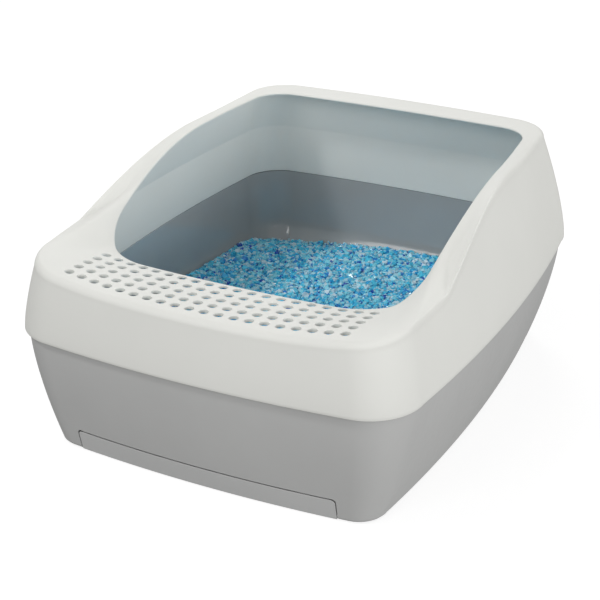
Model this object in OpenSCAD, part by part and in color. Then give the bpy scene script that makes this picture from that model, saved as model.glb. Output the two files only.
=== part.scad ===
// Cat litter box with a high-sided, open-topped hood: a base tub, a lift-out litter pan,
// the hood with its perforated front step, and a storage drawer for the scoop.
// Millimetres. Origin on the floor under the middle; -Y is the front, +Z is up.

/* [Overall plan] */
// Full width of the hood's lower edge
box_w = 450; // [380:5:520]
// Front edge of the hood at its corners
front_y = -260; // [-300:1:-220]
// Back edge of the hood at its corners
back_y = 266; // [230:1:300]
// How far the front edge bows forward in the middle
front_bow = 16; // [0:1:30]
// How far the back edge bows backward in the middle
back_bow = 10; // [0:1:30]
// How much the half width falls off towards the ends
barrel = 20; // [0:1:30]

/* [Hood] */
// Height of the hood's lower edge
skirt_z = 127.5; // [110:0.5:145]
// Top of the hood at the back
crest_back_z = 252; // [220:0.5:290]
// Top of the hood in the middle of the front
crest_front_z = 193; // [170:1:210]
// How far the side walls lean in at full height
side_lean = 34.5; // [10:0.5:45]
// How far the back wall leans in at full height
back_lean = 25; // [10:1:40]
// How far the front wall leans in at full height
front_lean = 20; // [5:1:30]
// Wall thickness of the hood
hood_t = 2.5; // [2:0.25:3.5]
// Half width of the top opening at the front
open_hw_front = 175; // [150:1:185]
// Half width of the top opening at the back
open_hw_back = 165; // [140:1:175]
// Front edge of the top opening at its corners
open_front_y = -167; // [-190:1:-150]
// Back edge of the top opening at its corners
open_back_y = 210; // [180:1:225]

/* [Front step] */
// Holes along one row of the step
hole_cols = 20; // [4:1:20]
// Rows of holes
hole_rows = 5; // [1:1:5]
// Distance between holes
hole_pitch = 15.5; // [14:0.1:16]
// Diameter of one hole
hole_d = 9.6; // [5:0.1:11]

/* [Base tub] */
// How far the tub narrows on each side from the hood down to the floor
tub_flare = 28; // [10:0.5:40]
// Wall thickness of the tub
tub_t = 3; // [2:0.25:4]
// Clearance under the tub, which its feet make up
foot_h = 1.25; // [1:0.25:5]

/* [Litter pan] */
// Height of the pan floor's underside
pan_floor_z = 29; // [25:0.5:45]
// Wall thickness of the pan
pan_t = 2.5; // [2:0.25:4]
// Height of the litter's surface
litter_z = 60; // [40:1:90]

/* [Scoop drawer] */
// Width of the drawer's front panel
drawer_w = 286; // [200:1:300]
// Height of the drawer's front panel
drawer_h = 24; // [20:0.5:26]
// Length of the drawer's tray
drawer_l = 330; // [210:1:340]

/* [Hidden] */
$fn = 48;

white = [0.91, 0.91, 0.89];
grey = [0.62, 0.64, 0.64];
dark_grey = [0.42, 0.45, 0.46];
blue = [0.42, 0.66, 0.78];
rubber = [0.20, 0.20, 0.21];

// Points along each stretch of an outline: half an end, a corner, a side
n_end = 5;
n_corner = 7;
n_side = 9;

hw = box_w / 2;
widest_y = -11;
outline_reach = 262;
front_corner_r = 50;
back_corner_r = 60;
opening_front_r = 70;
opening_back_r = 36;

// Hood section
lean_span = 120.5;
lean_power = 1.4;
edge_r = 8;
lip_r = 1.3;
crease_z = 194.2;
inner_d = 18.8;
inner_t = 2.5;
channel_roof = 8;
inner_skirt_z = 135.7;
corner_rise = 8.6;
corner_rise_x = 200;
rise_start = -152.5;
rise_end = 65;
rise_power = 0.68;
rise_softness = 0.03;
open_front_z = 186.5;
open_back_z = 250.5;
open_rise_start = -152;
open_rise_end = 74;
open_rise_power = 0.61;
open_front_bow = 9;
open_back_bow = 5;
leaned_front_corner_loss = 8;
leaned_back_corner_loss = 17;
leaned_taper = 2.5;
leaned_barrel = 12;
skirt_edge = 0.8;

// Holes of the front step
first_row_y = -249.1;
row_pitch = hole_pitch * 1.04;
row_curve = 10;
row_curve_x = 147;
hole_low_z = 178;
hole_cut_h = 30;

// Tub section
tub_d = 4.5;
tub_rim_z = 138.3;
flare_power = 1.57;
// What the tub loses from the hood down to the floor
tub_front_flare = 17.4;
tub_back_flare = 29;
tub_front_corner_loss = 18.5;
tub_back_corner_loss = 23;
tub_front_bow_loss = 5.5;
tub_back_bow_loss = 4;
tub_floor_t = 2.5;
tub_edge_r = 2;

// Pan section
jog_z = 135.3;
pan_rim_z = 140.9;
pan_flange_t = 2.3;
fit_gap = 0.3;
pan_slope = 8;
pan_slope_h = 71;
pan_step = -0.3;
pan_corner_share = 0.8;
pan_corner_min = 12;
pan_edge_d = 4.9;
pan_fillet = 44;
wall_steps = 5;
fillet_steps = 5;
litter_steps = 4;

// Drawer bay
bay_gap = 0.7;
bay_front_y = -214;
finger_w = 120;
finger_h = 16;
panel_t = 3.5;
panel_r = 4;
tray_h = drawer_h - 4;
tray_t = 2;
tray_play = 1;
rib_t = 3;
rear_rib_l = 110;
foot_r = 9;
foot_places = [[-150, -195], [150, -195], [-145, 185], [145, 185]];
floor_top_z = foot_h + tub_floor_t;
drawer_floor_z = floor_top_z + 0.4;
drawer_front_y = -250;
drawer_back_y = drawer_front_y + drawer_l;

// Scoop
scoop_y = -60;
scoop_z = drawer_floor_z + tray_t + 0.4;
blade_w = 130;
blade_front_y = -120;
blade_neck_y = 20;
blade_neck_w = 60;
blade_shoulder = 30;
blade_h = 15;
blade_t = 2;
blade_slots = 9;
slot_w = 6;
slot_l = 74;
slot_pitch = 12.5;
handle_w = 26;
handle_l = 100;
handle_t = 9;

// ---- Outlines ----------------------------------------------------------------------------

// Half width of a side that bulges in the middle of the box
function side_x(a, y, bulge = barrel) = a - bulge * pow((y - widest_y) / outline_reach, 2);

// Right half of an outline, from the middle of the front to the middle of the back
function half_outline(a, yf, yb, rf, rb, bf, bb, taper = 0, bulge = barrel) =
    let (
        af = side_x(a, yf + rf, bulge),
        ab = side_x(a, yb - rb, bulge) - taper,
        sf = -bf * (1 - pow((af - rf) / af, 2)),
        sb = bb * (1 - pow((ab - rb) / ab, 2))
    )
    concat(
        [for (i = [0 : n_end - 1])
            let (x = (af - rf) * i / n_end)
            [x, yf - bf * (1 - pow(x / af, 2))]],
        [for (i = [0 : n_corner - 1])
            let (t = i / n_corner)
            [af - rf + rf * sin(90 * t), yf + rf - rf * cos(90 * t) + sf * (1 - t)]],
        [for (i = [0 : n_side - 1])
            let (t = i / n_side, y = yf + rf + (yb - rb - yf - rf) * t)
            [side_x(a, y, bulge) - taper * t, y]],
        [for (i = [0 : n_corner - 1])
            let (t = i / n_corner)
            [ab - rb + rb * cos(90 * t), yb - rb + rb * sin(90 * t) + sb * t]],
        [for (i = [0 : n_end])
            let (x = (ab - rb) * (1 - i / n_end))
            [x, yb + bb * (1 - pow(x / ab, 2))]]);

// Both halves, as one closed run of points
function whole(half) =
    concat(half, [for (i = [len(half) - 2 : -1 : 1]) [-half[i][0], half[i][1]]]);

// The hood's lower outline, moved inwards by d
function inset_outline(d) =
    whole(half_outline(hw - d, front_y + d, back_y - d,
        front_corner_r - d, back_corner_r - d, front_bow, back_bow));

// The same outline where the walls have leaned in as far as they go
function leaned_outline(d) =
    whole(half_outline(hw - side_lean - d, front_y + front_lean + d, back_y - back_lean - d,
        front_corner_r - leaned_front_corner_loss - d,
        back_corner_r - leaned_back_corner_loss - d,
        front_bow, back_bow, leaned_taper, leaned_barrel));

// An outline set at a height, or at a height for each of its points
function ring_at(points, z) =
    [for (i = [0 : len(points) - 1]) [points[i][0], points[i][1], is_list(z) ? z[i] : z]];

// ---- Lofted solids -----------------------------------------------------------------------

function band_faces(a, b, n) =
    [for (i = [0 : n - 1])
        let (j = (i + 1) % n)
        each [[a + i, b + j, a + j], [a + i, b + i, b + j]]];

// Rings joined one to the next. A closed loft joins its last ring to its first; an open one
// has a flat cap at each end.
module loft(rings, closed = false) {
    n = len(rings[0]);
    m = len(rings);
    bands = [for (k = [0 : m - 2]) each band_faces(k * n, (k + 1) * n, n)];
    last = closed
        ? band_faces((m - 1) * n, 0, n)
        : [[for (i = [0 : n - 1]) i], [for (i = [n - 1 : -1 : 0]) (m - 1) * n + i]];
    polyhedron(points = [for (r = rings) each r], faces = concat(bands, last), convexity = 10);
}

// ---- Hood --------------------------------------------------------------------------------

function ease(t) = t * t * (3 - 2 * t);
function clamp01(t) = min(1, max(0, t));
function rise(y, start, end, power) =
    let (t = clamp01((y - start) / (end - start)))
    ease(pow(t, power) * (1 - exp(-t / rise_softness)));

// Height of the hood's top edge, from the front step up to the high back
function crest_z(p) =
    let (front = crest_front_z + corner_rise * pow(abs(p[0]) / corner_rise_x, 3))
    front + (crest_back_z - front) * rise(p[1], rise_start, rise_end, rise_power);

// Height of the edge round the top opening
function opening_z(p) = open_front_z
    + (open_back_z - open_front_z) * rise(p[1], open_rise_start, open_rise_end, open_rise_power);

opening = whole(half_outline(open_hw_front, open_front_y, open_back_y, opening_front_r,
    opening_back_r, open_front_bow, open_back_bow, open_hw_front - open_hw_back - barrel / 2));

function lean_at(z) = pow(max(0, z - skirt_z) / lean_span, lean_power);

// Points of the hood wall, d inside its outer face, at the height z for each point
function wall_at(d, z) =
    let (low = inset_outline(d), high = leaned_outline(d))
    [for (i = [0 : len(low) - 1])
        let (p = low[i] + (high[i] - low[i]) * lean_at(z[i]))
        [p[0], p[1], z[i]]];

// Heights of the hood wall, d inside its outer face, at the share s of the way up to the top
function wall_heights(d, s) =
    [for (p = inset_outline(d)) skirt_z + s * (crest_z(p) - edge_r - skirt_z)];

// Unit step from each point of a ring towards the opening
function inward(ring) =
    [for (i = [0 : len(ring) - 1])
        let (v = [opening[i][0] - ring[i][0], opening[i][1] - ring[i][1]])
        v / norm(v)];

// The rounded top edge, at the angle a from the wall's top
function edge_ring(wall, r, a) =
    let (dir = inward(wall))
    [for (i = [0 : len(wall) - 1])
        [wall[i][0] + dir[i][0] * r * (1 - cos(a)),
         wall[i][1] + dir[i][1] * r * (1 - cos(a)),
         wall[i][2] + r * sin(a)]];

// The flange between the top edge and the opening, at the share s of the way in
function flange_ring(edge, s) =
    [for (i = [0 : len(edge) - 1])
        let (o = opening[i])
        edge[i] + ([o[0], o[1], opening_z(o)] - edge[i]) * s];

// The lip round the opening, out from its edge by d and down by drop
function lip_ring(edge, d, drop) =
    let (dir = inward(edge))
    [for (i = [0 : len(edge) - 1])
        let (o = opening[i])
        [o[0] - dir[i][0] * d, o[1] - dir[i][1] * d, opening_z(o) - drop]];

// Heights of the crease in the inner face, which stays under the top edge where that is low
crease_heights = [for (z = wall_heights(hood_t, 1)) min(crease_z, z - 1)];

// Inner face above the crease: s is 1 at the top of the wall and 0 at the crease
function inner_wall_ring(s) =
    let (top = wall_heights(hood_t, 1))
    wall_at(hood_t, [for (i = [0 : len(top) - 1])
        crease_heights[i] + s * (top[i] - crease_heights[i])]);

// Inner face of the outer wall, beside the channel that covers the pan's rim
function channel_ring(s) =
    wall_at(hood_t, [for (z = crease_heights) skirt_z + s * (z - channel_roof - skirt_z)]);

module hood() {
    outer_top = wall_at(0, wall_heights(0, 1));
    outer_edge = edge_ring(outer_top, edge_r, 90);
    inner_top = wall_at(hood_t, wall_heights(hood_t, 1));
    skirt_in = inset_outline(inner_d);
    skirt_out = inset_outline(inner_d - inner_t);
    rings = concat(
        [ring_at(inset_outline(skirt_edge), skirt_z)],
        [for (s = [0.02, 0.2, 0.4, 0.6, 0.8, 1]) wall_at(0, wall_heights(0, s))],
        [for (a = [30, 60, 90]) edge_ring(outer_top, edge_r, a)],
        [flange_ring(outer_edge, 0.5)],
        [lip_ring(outer_edge, lip_r, 0)],
        [lip_ring(outer_edge, 0.3 * lip_r, 0.3 * lip_r)],
        [lip_ring(outer_edge, 0, lip_r)],
        [lip_ring(outer_edge, 0.3 * lip_r, hood_t)],
        [for (a = [90, 45]) edge_ring(inner_top, edge_r - hood_t, a)],
        [for (s = [1, 0.5]) inner_wall_ring(s)],
        [ring_at(skirt_in, crease_heights)],
        [ring_at(skirt_in, inner_skirt_z)],
        [ring_at(skirt_out, inner_skirt_z)],
        [ring_at(skirt_out, [for (z = crease_heights) z - channel_roof])],
        [for (s = [1, 0.5]) channel_ring(s)],
        [ring_at(inset_outline(hood_t), skirt_z)]);
    color(white)
    difference() {
        loft(rings, closed = true);
        for (row = [0 : hole_rows - 1])
            for (col = [0 : hole_cols - 1])
                step_hole((col - (hole_cols - 1) / 2) * hole_pitch, row);
    }
}

// One round hole through the front step; its rows follow the step's bowed front
module step_hole(x, row) {
    y = first_row_y + row * row_pitch + row_curve * pow(x / row_curve_x, 2);
    translate([x, y, hole_low_z])
        cylinder(h = hole_cut_h, d = hole_d, $fn = 24);
}

// ---- Base tub ----------------------------------------------------------------------------

// Share of the flare that is left at height z: 1 on the floor, 0 under the hood
function flare_at(z) = pow(1 - min(1, z / skirt_z), flare_power);

// Outline of the tub, d inside its outer face
function tub_outline(z, d) =
    let (w = flare_at(z), e = tub_d + d)
    whole(half_outline(hw - e - tub_flare * w, front_y + e + tub_front_flare * w,
        back_y - e - tub_back_flare * w, front_corner_r - e - tub_front_corner_loss * w,
        back_corner_r - e - tub_back_corner_loss * w,
        front_bow - tub_front_bow_loss * w, back_bow - tub_back_bow_loss * w));

// Front face of the tub at x, on the height z
function tub_front_y(x, z) =
    let (
        w = flare_at(z),
        yf = front_y + tub_d + tub_front_flare * w,
        r = front_corner_r - tub_d - tub_front_corner_loss * w,
        af = side_x(hw - tub_d - tub_flare * w, yf + r)
    )
    yf - (front_bow - tub_front_bow_loss * w) * (1 - pow(x / af, 2));

module tub_shell() {
    levels = [tub_edge_r, 12, 22, 36, 54, 76, 100, 122, tub_rim_z];
    loft(concat(
        [ring_at(tub_outline(0, tub_edge_r), foot_h)],
        [ring_at(tub_outline(0, 0.3 * tub_edge_r), foot_h + 0.3 * tub_edge_r)],
        [for (z = levels) ring_at(tub_outline(z, 0), foot_h + z * (tub_rim_z - foot_h) / tub_rim_z)],
        [for (k = [len(levels) - 1 : -1 : 1])
            ring_at(tub_outline(levels[k], tub_t),
                foot_h + levels[k] * (tub_rim_z - foot_h) / tub_rim_z)],
        [ring_at(tub_outline(tub_edge_r, tub_t + 1), floor_top_z)]));
}

module base_tub() {
    guide_x = drawer_w / 2 + 1.5;
    rib_top = pan_floor_z - fit_gap;
    color(grey)
    difference() {
        union() {
            tub_shell();
            // Guides beside the drawer, which also carry the pan's floor
            for (side = [-1, 1])
                translate([side * (guide_x + rib_t / 2) - rib_t / 2, bay_front_y - 8,
                        floor_top_z - 1])
                    cube([rib_t, drawer_back_y - bay_front_y + 12, rib_top - floor_top_z + 1]);
            // Stop behind the drawer
            translate([-guide_x - rib_t / 2, drawer_back_y + 1.5, floor_top_z - 1])
                cube([2 * guide_x + rib_t, rib_t, rib_top - floor_top_z + 1]);
            // Ribs behind it
            for (x = [-70, 0, 70])
                translate([x - rib_t / 2, drawer_back_y + 2, floor_top_z - 1])
                    cube([rib_t, rear_rib_l, rib_top - floor_top_z + 1]);
        }
        drawer_bay();
        for (p = foot_places)
            translate([p[0], p[1], 0])
                cylinder(h = foot_h + 1, r = foot_r);
    }
}

// The opening in the front wall that the drawer closes
module drawer_bay() {
    w = drawer_w / 2 + bay_gap;
    top = foot_h + drawer_h + bay_gap;
    translate([0, bay_front_y, 0])
        rotate([90, 0, 0])
            linear_extrude(height = 60)
                panel_shape(w, -1, top);
}

// Front view of the drawer's panel: upper corners rounded
module panel_shape(w, low, top) {
    r = panel_r;
    polygon(concat(
        [[-w, low], [w, low]],
        [for (a = [0 : 15 : 90]) [w - r + r * cos(a), top - r + r * sin(a)]],
        [for (a = [90 : 15 : 180]) [r - w + r * cos(a), top - r + r * sin(a)]]));
}

module foot_pads() {
    color(rubber)
    for (p = foot_places)
        translate([p[0], p[1], 0])
            cylinder(h = foot_h + 1, r = foot_r);
}

// ---- Litter pan --------------------------------------------------------------------------

// Outline at the height z, d inside the pan's inner face
function pan_outline(d, z) =
    let (w = (jog_z - z) / pan_slope_h * pan_slope, e = inner_d + pan_step + w + d)
    whole(half_outline(hw - e, front_y + e, back_y - e,
        max(pan_corner_min, front_corner_r - pan_corner_share * e),
        max(pan_corner_min, back_corner_r - pan_corner_share * e),
        front_bow - 0.2 * w, back_bow - 0.1 * w));

module litter_pan() {
    top = pan_floor_z + pan_t;
    knee = top + pan_fillet;
    levels = [for (k = [0 : wall_steps]) knee + (jog_z - knee) * k / wall_steps];
    up = inner_d - inner_t - fit_gap;
    color(dark_grey)
    loft(concat(
        [for (a = [90 : -90 / fillet_steps : 1])
            let (z = pan_floor_z + (pan_fillet + pan_t) * (1 - sin(a)))
            ring_at(pan_outline((pan_fillet + pan_t) * (1 - cos(a)) - pan_t, z), z)],
        [for (k = [0 : wall_steps - 1]) ring_at(pan_outline(-pan_t, levels[k]), levels[k])],
        [ring_at(pan_outline(-pan_t, jog_z - 3), jog_z - 3)],
        [ring_at(inset_outline(up - pan_t), jog_z - 1.5)],
        [ring_at(inset_outline(up - pan_t), pan_rim_z - pan_flange_t)],
        [ring_at(inset_outline(pan_edge_d), pan_rim_z - pan_flange_t)],
        [ring_at(inset_outline(pan_edge_d), pan_rim_z)],
        [ring_at(inset_outline(up), pan_rim_z)],
        [ring_at(inset_outline(up), jog_z)],
        [for (k = [wall_steps : -1 : 0]) ring_at(pan_outline(0, levels[k]), levels[k])],
        [for (a = [90 / fillet_steps : 90 / fillet_steps : 90])
            let (z = top + pan_fillet * (1 - sin(a)))
            ring_at(pan_outline(pan_fillet * (1 - cos(a)), z), z)]));
}

// Crystals lying in the pan, a hair clear of it
module litter_crystals() {
    top = pan_floor_z + pan_t + fit_gap;
    r = pan_fillet;
    depth = litter_z - top;
    end_a = asin(1 - depth / r);
    color(blue)
    loft([for (k = [0 : litter_steps])
        let (a = 90 - (90 - end_a) * k / litter_steps, z = top + r * (1 - sin(a)))
        ring_at(pan_outline(r * (1 - cos(a)) + 2 * fit_gap, z), z)]);
}

// ---- Scoop drawer ------------------------------------------------------------------------

module panel_slab() {
    nx = 8;
    zs = [foot_h - 2, 4, 8, 14, 21, foot_h + drawer_h + 2];
    xs = [for (i = [0 : nx]) (i / nx - 0.5) * (drawer_w + 6)];
    // Each ring runs round one vertical slice of the slab
    rings = [for (x = xs)
        concat(
            [for (k = [len(zs) - 1 : -1 : 0]) [x, tub_front_y(x, zs[k] - foot_h), zs[k]]],
            [for (z = zs) [x, tub_front_y(x, z - foot_h) + panel_t, z]])];
    loft(rings);
}

module scoop_drawer() {
    w = drawer_w / 2;
    tray_w = w - tray_play;
    front = [for (i = [-6 : 6])
        let (x = tray_w * i / 6)
        [x, tub_front_y(x, 5) + 1.5]];
    color(grey)
    union() {
        intersection() {
            panel_slab();
            rotate([90, 0, 0])
                translate([0, 0, 200])
                    linear_extrude(height = 80)
                        panel_shape(w, foot_h, foot_h + drawer_h);
        }
        difference() {
            translate([0, 0, drawer_floor_z])
                linear_extrude(height = tray_h)
                    polygon(concat(front, [[tray_w, drawer_back_y], [-tray_w, drawer_back_y]]));
            translate([0, 0, drawer_floor_z + tray_t])
                linear_extrude(height = tray_h)
                    polygon(concat(
                        [for (p = front) [p[0] * (tray_w - tray_t) / tray_w, p[1] - 20]],
                        [[tray_w - tray_t, drawer_back_y - tray_t],
                         [tray_t - tray_w, drawer_back_y - tray_t]]));
            finger_room(0);
        }
        difference() {
            finger_room(tray_t);
            finger_room(0);
        }
    }
}

// Room behind the panel's lower edge for the fingers that pull the drawer; d is its wall
module finger_room(d) {
    y = tub_front_y(0, 5) + panel_t - 0.5;
    low = d > 0 ? drawer_floor_z : drawer_floor_z - 1;
    translate([-finger_w / 2 - d, y, low])
        cube([finger_w + 2 * d, bay_front_y - 4 - y + d, finger_h + d - low]);
}

// ---- Scoop -------------------------------------------------------------------------------

module litter_scoop() {
    color(white)
    translate([0, scoop_y, scoop_z])
        difference() {
            union() {
                scoop_blade();
                scoop_handle();
            }
            for (i = [0 : blade_slots - 1])
                translate([(i - (blade_slots - 1) / 2) * slot_pitch, -92, -1])
                    linear_extrude(height = blade_t + 2)
                        slot(slot_l, slot_w);
        }
}

// A slot with round ends, running towards +Y
module slot(length, width) {
    translate([-width / 2, 0])
        square([width, length]);
    circle(d = width);
    translate([0, length])
        circle(d = width);
}

// A shallow tray, open at the front
module scoop_blade() {
    inner_w = blade_w - 2 * blade_t;
    difference() {
        linear_extrude(height = blade_h)
            scoop_plan(0);
        translate([0, 0, blade_t])
            linear_extrude(height = blade_h)
                union() {
                    scoop_plan(blade_t);
                    translate([-inner_w / 2, blade_front_y - 10])
                        square([inner_w, 40]);
                }
    }
}

// Plan of the blade, its outline moved inwards by d
module scoop_plan(d) {
    w = blade_w / 2 - d;
    neck = blade_neck_w / 2 - d;
    shoulder_y = blade_neck_y - blade_shoulder;
    polygon([[-w, blade_front_y], [w, blade_front_y], [w, shoulder_y], [neck, blade_neck_y - d],
        [-neck, blade_neck_y - d], [-w, shoulder_y]]);
}

module scoop_handle() {
    translate([-handle_w / 2, blade_neck_y - 4, 0])
        cube([handle_w, handle_l + 4, handle_t]);
    translate([0, blade_neck_y + handle_l, 0])
        cylinder(h = handle_t, d = handle_w);
}

base_tub();
foot_pads();
litter_pan();
litter_crystals();
hood();
scoop_drawer();
litter_scoop();
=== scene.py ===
"""Looks of a cat litter box with a high, open-topped hood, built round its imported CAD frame.

Shapes are worked out in millimetres and turned into metres where a mesh is made.
"""

import math

import bmesh
import bpy
import numpy as np
from mathutils import Euler, Matrix, Vector, noise
from mathutils.bvhtree import BVHTree
from mathutils.interpolate import poly_3d_calc


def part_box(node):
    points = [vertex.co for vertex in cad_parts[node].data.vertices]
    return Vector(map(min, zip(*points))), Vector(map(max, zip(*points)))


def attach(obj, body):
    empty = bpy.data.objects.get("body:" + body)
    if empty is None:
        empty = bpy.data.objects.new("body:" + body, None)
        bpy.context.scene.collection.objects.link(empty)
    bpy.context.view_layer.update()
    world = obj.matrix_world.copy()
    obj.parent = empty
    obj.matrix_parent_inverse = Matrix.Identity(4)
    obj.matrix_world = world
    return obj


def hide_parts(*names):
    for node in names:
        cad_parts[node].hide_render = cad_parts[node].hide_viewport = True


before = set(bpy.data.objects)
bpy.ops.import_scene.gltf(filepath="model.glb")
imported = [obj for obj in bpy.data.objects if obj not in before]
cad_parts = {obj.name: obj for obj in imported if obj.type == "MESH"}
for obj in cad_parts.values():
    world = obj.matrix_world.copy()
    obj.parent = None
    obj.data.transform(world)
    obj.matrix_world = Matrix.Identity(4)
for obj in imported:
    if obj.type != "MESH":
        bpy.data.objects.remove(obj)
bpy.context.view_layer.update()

MM = 0.001
# How far pieces of one moulding run into each other
OVERLAP = 0.5


def low_of(node):
    """Lowest corner of a CAD node, in millimetres."""
    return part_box(node)[0] / MM


def high_of(node):
    """Highest corner of a CAD node, in millimetres."""
    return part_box(node)[1] / MM


# ---- Sizes ---------------------------------------------------------------------------------
#
# A name that ends in _D is a distance inside the hood's outer face, _T a thickness, _R a radius
# and _BOW how far an end of the box bulges in its middle. -Y is the front.

FRONT_BOW = 16
BACK_BOW = 10
BARREL = 20
WIDEST_Y = -11
OUTLINE_REACH = 262
FRONT_CORNER_R = 50
BACK_CORNER_R = 60
HALF_W = round(high_of("hood").x)
FRONT_Y = low_of("hood").y + FRONT_BOW
BACK_Y = high_of("hood").y - BACK_BOW

# Hood
SKIRT_Z = low_of("hood").z
CREST_BACK_Z = high_of("hood").z
CREST_FRONT_Z = 193
SIDE_LEAN = 34.5
BACK_LEAN = 25
FRONT_LEAN = 20
FRONT_CORNER_LOSS = 8
BACK_CORNER_LOSS = 17
LEANED_TAPER = 2.5
LEANED_BARREL = 12
LEAN_SPAN = 120.5
LEAN_POWER = 1.4
HOOD_T = 2.5
EDGE_R = 8
SKIRT_EDGE = 1
CREASE_Z = 194.2
INNER_D = 18.8
INNER_T = 2.5
INNER_SKIRT_Z = 135.7
INNER_SKIRT_EDGE = 0.6
CHANNEL_ROOF = 8
CORNER_RISE = 8.6
CORNER_RISE_X = 200
# Where each rise starts and ends in y, and its power
CREST_RISE = (-152.5, 65, 0.68)
OPENING_RISE = (-152, 74, 0.61)
RISE_SOFTNESS = 0.03
OPENING_FRONT_Z = 186.5
OPENING_BACK_Z = 250.5
# The opening's measures at the front and at the back
OPENING_HALF_W = (175, 165)
OPENING_Y = (-167, 210)
OPENING_R = (70, 36)
OPENING_BOW = (9, 5)

# Holes in the front step
HOLE_COLS = 20
HOLE_ROWS = 5
HOLE_PITCH = 15.5
ROW_PITCH = HOLE_PITCH * 1.04
HOLE_D = 9.6
FIRST_ROW_Y = -249.1
ROW_CURVE = 10
ROW_CURVE_X = 147
HOLE_SIDES = 32
ABOVE_HOOD_Z = 300
# How far above the step each ring of a hole's cutter lies, and how much wider than the hole it is
HOLE_FLARE = [(-14, 0), (-0.35, 0), (-0.12, 0.05), (0.06, 0.22), (2, 2.2)]
# Two corners of the space that holds the step and nothing else of the hood's top
STEP_LOW = (-175, -275, 178)
STEP_HIGH = (175, -160, 205)

# Tub
FOOT_H = low_of("base_tub").z
TUB_RIM_Z = high_of("base_tub").z
TUB_D = 4.5
TUB_T = 3
TUB_EDGE_R = 2
TUB_FLOOR_T = 2.5
TUB_RIM_EDGE = 0.6
TUB_FOOT_FILLET = 1.5
# How much smaller each measure of the tub's outline is at its floor than at its rim
FLARE = {
    "side": 28,
    "front": 17.4,
    "back": 29,
    "front_r": 18.5,
    "back_r": 23,
    "front_bow": 5.5,
    "back_bow": 4,
}
FLARE_POWER = 1.57

# Pan
PAN_FLOOR_Z = low_of("litter_pan").z
PAN_RIM_Z = high_of("litter_pan").z
JOG_Z = 135.3
JOG_EDGE = 0.3
PAN_T = 2.5
PAN_FLANGE_T = 2.3
PAN_FILLET = 44
PAN_SLOPE = 8 / 71
PAN_STEP = -0.3
PAN_EDGE_D = 4.9
PAN_EDGE = 0.5
PAN_LEAST_R = 12
PAN_R_LOSS = 0.8
PAN_BOW_LOSS = (0.2, 0.1)
FIT_GAP = 0.3

# Drawer
DRAWER_HALF_W = high_of("scoop_drawer").x
DRAWER_TOP_Z = high_of("scoop_drawer").z
DRAWER_BACK_Y = high_of("scoop_drawer").y
PANEL_T = 2.2
PANEL_R = 4
PANEL_MID_Z = 5
BAY_GAP = 1.3
BAY_INNER_Y = -214
BAY_OUTER_Y = -320
BAY_LOW_Z = -5
GUIDE_GAP = 1.5
GUIDE_T = 3
GUIDE_LEAD = 8
RIB_XS = (-70, 0, 70)
RIB_REACH = 110
TRAY_H = DRAWER_TOP_Z - FOOT_H - 4
TRAY_T = 2
TRAY_INSET = 1
TRAY_FRONT = 1.5
TRAY_FRONT_T = 3
ABOVE_TRAY_Z = 60
FINGER_W = 120
FINGER_H = 16
FINGER_BACK_Y = BAY_INNER_Y - 4
FLOOR_TOP_Z = FOOT_H + TUB_FLOOR_T
DRAWER_FLOOR_Z = FLOOR_TOP_Z + 0.4

# Points along each stretch of an outline
N_END = 26
N_CORNER = 22
N_SIDE = 60


# ---- Outlines ------------------------------------------------------------------------------

def side_x(a, y, bulge=BARREL):
    """Half width of a side that bulges in the middle of the box."""
    return a - bulge * ((y - WIDEST_Y) / OUTLINE_REACH) ** 2


def half_outline(a, yf, yb, rf, rb, bf, bb, taper=0.0, bulge=BARREL):
    """Right half of an outline, from the middle of the front to the middle of the back.

    a is its half width, yf and yb are where its front and back lie, rf and rb the radii of its
    corners and bf and bb the bows of its ends. taper is how much narrower it is at the back.
    """
    af = side_x(a, yf + rf, bulge)
    ab = side_x(a, yb - rb, bulge) - taper
    sf = -bf * (1 - ((af - rf) / af) ** 2)
    sb = bb * (1 - ((ab - rb) / ab) ** 2)
    x = np.linspace(0, af - rf, N_END, endpoint=False)
    front = np.column_stack([x, yf - bf * (1 - (x / af) ** 2)])
    t = np.linspace(0, 1, N_CORNER, endpoint=False)
    s, c = np.sin(t * math.pi / 2), np.cos(t * math.pi / 2)
    front_corner = np.column_stack([af - rf + rf * s, yf + rf - rf * c + sf * (1 - t)])
    back_corner = np.column_stack([ab - rb + rb * c, yb - rb + rb * s + sb * t])
    t = np.linspace(0, 1, N_SIDE, endpoint=False)
    y = yf + rf + (yb - rb - yf - rf) * t
    side = np.column_stack([side_x(a, y, bulge) - taper * t, y])
    x = np.linspace(ab - rb, 0, N_END + 1)
    back = np.column_stack([x, yb + bb * (1 - (x / ab) ** 2)])
    return np.vstack([front, front_corner, side, back_corner, back])


def whole(half):
    """Both halves, as one closed run of points."""
    return np.vstack([half, half[-2:0:-1] * [-1, 1]])


def inset_outline(d):
    """The hood's lower outline, moved inwards by d."""
    return whole(half_outline(HALF_W - d, FRONT_Y + d, BACK_Y - d,
                              FRONT_CORNER_R - d, BACK_CORNER_R - d, FRONT_BOW, BACK_BOW))


def leaned_outline(d):
    """The same outline where the walls have leaned in as far as they go."""
    return whole(half_outline(HALF_W - SIDE_LEAN - d, FRONT_Y + FRONT_LEAN + d, BACK_Y - BACK_LEAN - d,
                              FRONT_CORNER_R - FRONT_CORNER_LOSS - d, BACK_CORNER_R - BACK_CORNER_LOSS - d,
                              FRONT_BOW, BACK_BOW, LEANED_TAPER, LEANED_BARREL))


def ring_at(points, z):
    """An outline set at the height z, which may differ from point to point."""
    return np.column_stack([points, np.broadcast_to(z, len(points))])


# ---- Meshes --------------------------------------------------------------------------------

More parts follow.
